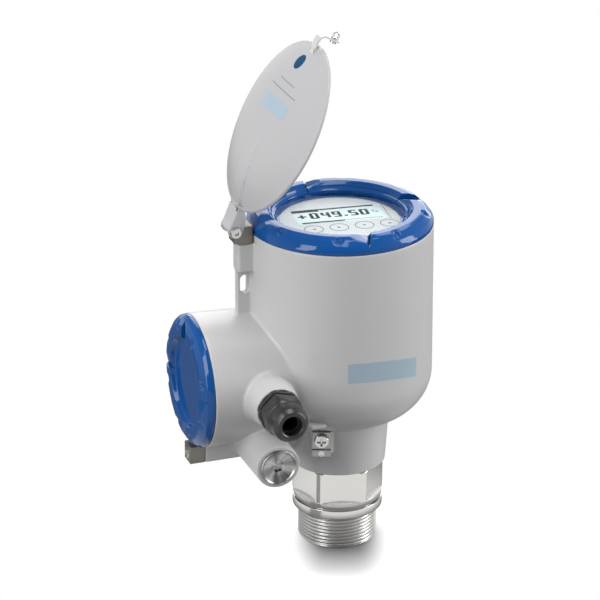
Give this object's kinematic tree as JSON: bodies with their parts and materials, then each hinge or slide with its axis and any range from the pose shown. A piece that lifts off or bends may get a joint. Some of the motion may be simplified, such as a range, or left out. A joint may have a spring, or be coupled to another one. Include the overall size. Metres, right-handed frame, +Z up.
{
  "type": "radar level transmitter",
  "caption": "Radar level transmitter with a threaded lens antenna, a display under a screw cover and sun lid, a side terminal drum, a cable gland and a blanking plug.",
  "frame": {"origin": "on the process thread's axis at the underside of the sealing collar", "axes": "+Z up the thread axis towards the display; the terminal drum points to -X and both cable entries point to -Y"},
  "size_m": [0.1541, 0.1356, 0.3239],
  "materials": {
    "stainless": "turned, light brushed",
    "ptfe": "matte white",
    "seal": "matte black rubber",
    "housing_paint": "light grey satin powder coat on a casting",
    "module": "potted electronics module",
    "display_plastic": "satin off-white",
    "lcd_glass": "pale green screen",
    "key": "satin off-white",
    "cover_blue": "glossy blue powder coat",
    "window_glass": "clear",
    "ring_metal": "satin",
    "screw_metal": "satin",
    "gland_plastic": "satin black",
    "gland_rubber": "matte black",
    "plug_metal": "turned",
    "stop_steel": "dull grey-brown",
    "lid_paint": "light grey satin powder coat",
    "clip_metal": "satin"
  },
  "bodies": {
    "connection": {"process_connection": "stainless", "lens_antenna": "ptfe", "lens_seal": "seal", "feed_horn": "stainless", "neck_seal": "seal", "neck_clip": "stainless"},
    "housing": {"housing": "housing_paint", "radar_module": "module", "electronics_module": "module", "display_bezel": "display_plastic", "lcd_panel": "lcd_glass", "terminal_block": "module", "terminal_screws": "screw_metal", "inner_earth_screw": "screw_metal", "gland_body": "gland_plastic", "gland_seal_ring": "seal", "hinge_bracket": "stop_steel", "display_stop_screw": "stop_steel", "terminal_stop": "stop_steel", "terminal_stop_screw": "stop_steel", "hinge_screw": "screw_metal", "hinge_washer": "screw_metal"},
    "key_1": {"key_1": "key"},
    "key_2": {"key_2": "key"},
    "key_3": {"key_3": "key"},
    "key_4": {"key_4": "key"},
    "display_seal": {"display_cover_seal": "seal"},
    "display_cover": {"display_cover": "cover_blue", "cover_window": "window_glass", "window_gasket": "seal", "window_ring": "ring_metal"},
    "terminal_seal": {"terminal_cover_seal": "seal"},
    "terminal_cover": {"terminal_cover": "cover_blue"},
    "gland_insert": {"gland_insert": "gland_rubber"},
    "gland_nut": {"gland_nut": "gland_plastic"},
    "plug_seal": {"plug_seal": "seal"},
    "blanking_plug": {"blanking_plug": "plug_metal"},
    "earth_clamp": {"earth_clamp": "stainless"},
    "earth_screw": {"earth_screw": "screw_metal"},
    "lid": {"sun_lid": "lid_paint", "lid_clip": "clip_metal"},
    "lid_screw": {"lid_screw": "screw_metal"}
  },
  "joints": [
    {"name": "housing_turn", "type": "hinge", "parent": "connection", "child": "housing", "pos_m": [0, 0, 0.037], "axis": [0, 0, 1], "continuous": true},
    {"name": "key_1_press", "type": "slide", "parent": "housing", "child": "key_1", "axis": [0, 0, -1], "range_m": [0, 0.0006], "stiffness_N_per_m": 900},
    {"name": "key_2_press", "type": "slide", "parent": "housing", "child": "key_2", "axis": [0, 0, -1], "range_m": [0, 0.0006], "stiffness_N_per_m": 900},
    {"name": "key_3_press", "type": "slide", "parent": "housing", "child": "key_3", "axis": [0, 0, -1], "range_m": [0, 0.0006], "stiffness_N_per_m": 900},
    {"name": "key_4_press", "type": "slide", "parent": "housing", "child": "key_4", "axis": [0, 0, -1], "range_m": [0, 0.0006], "stiffness_N_per_m": 900},
    {"name": "display_cover_lift", "type": "slide", "parent": "housing", "child": "display_seal", "axis": [0, 0, 1], "range_m": [0, 0.00602]},
    {"name": "display_cover_turn", "type": "hinge", "parent": "display_seal", "child": "display_cover", "pos_m": [0, 0, 0.186], "axis": [0, 0, 1], "range_deg": [0, 1440]},
    {"name": "terminal_cover_lift", "type": "slide", "parent": "housing", "child": "terminal_seal", "axis": [-1, 0, 0], "range_m": [0, 0.00602]},
    {"name": "terminal_cover_turn", "type": "hinge", "parent": "terminal_seal", "child": "terminal_cover", "pos_m": [-0.0925, 0, 0.0945], "axis": [-1, 0, 0], "range_deg": [0, 1440]},
    {"name": "gland_insert_slide", "type": "slide", "parent": "housing", "child": "gland_insert", "axis": [0, -1, 0], "range_m": [0, 0.0045]},
    {"name": "gland_nut_turn", "type": "hinge", "parent": "gland_insert", "child": "gland_nut", "pos_m": [-0.0575, -0.065, 0.0945], "axis": [0, -1, 0], "range_deg": [0, 1081]},
    {"name": "plug_seal_lift", "type": "slide", "parent": "housing", "child": "plug_seal", "axis": [0, -1, 0], "range_m": [0, 0.0075]},
    {"name": "plug_turn", "type": "hinge", "parent": "plug_seal", "child": "blanking_plug", "pos_m": [-0.0575, -0.055, 0.0573], "axis": [0, -1, 0], "range_deg": [0, 1801]},
    {"name": "earth_clamp_slide", "type": "slide", "parent": "housing", "child": "earth_clamp", "axis": [-0.342, -0.9397, 0], "range_m": [0, 0.0028]},
    {"name": "earth_screw_turn", "type": "hinge", "parent": "earth_clamp", "child": "earth_screw", "pos_m": [-0.02143, -0.02934, 0.0574], "axis": [-0.342, -0.9397, 0], "range_deg": [0, 1441]},
    {"name": "lid_hinge", "type": "hinge", "parent": "housing", "child": "lid", "pos_m": [-0.0673, 0, 0.1885], "axis": [0, -1, 0], "range_deg": [-58.5, 50]},
    {"name": "lid_screw_turn", "type": "hinge", "parent": "lid", "child": "lid_screw", "pos_m": [-0.0058, -0.002, 0.29662], "axis": [0.4726, 0, 0.8813], "continuous": true}
  ],
  "couplings": [
    {"joint": "display_cover_lift", "follows": "display_cover_turn", "m_per_rad": 0.00023873},
    {"joint": "terminal_cover_lift", "follows": "terminal_cover_turn", "m_per_rad": 0.00023873},
    {"joint": "gland_nut_turn", "follows": "gland_insert_slide", "rad_per_m": 4188.8},
    {"joint": "plug_turn", "follows": "plug_seal_lift", "rad_per_m": 4188.8},
    {"joint": "earth_screw_turn", "follows": "earth_clamp_slide", "rad_per_m": 8976}
  ]
}
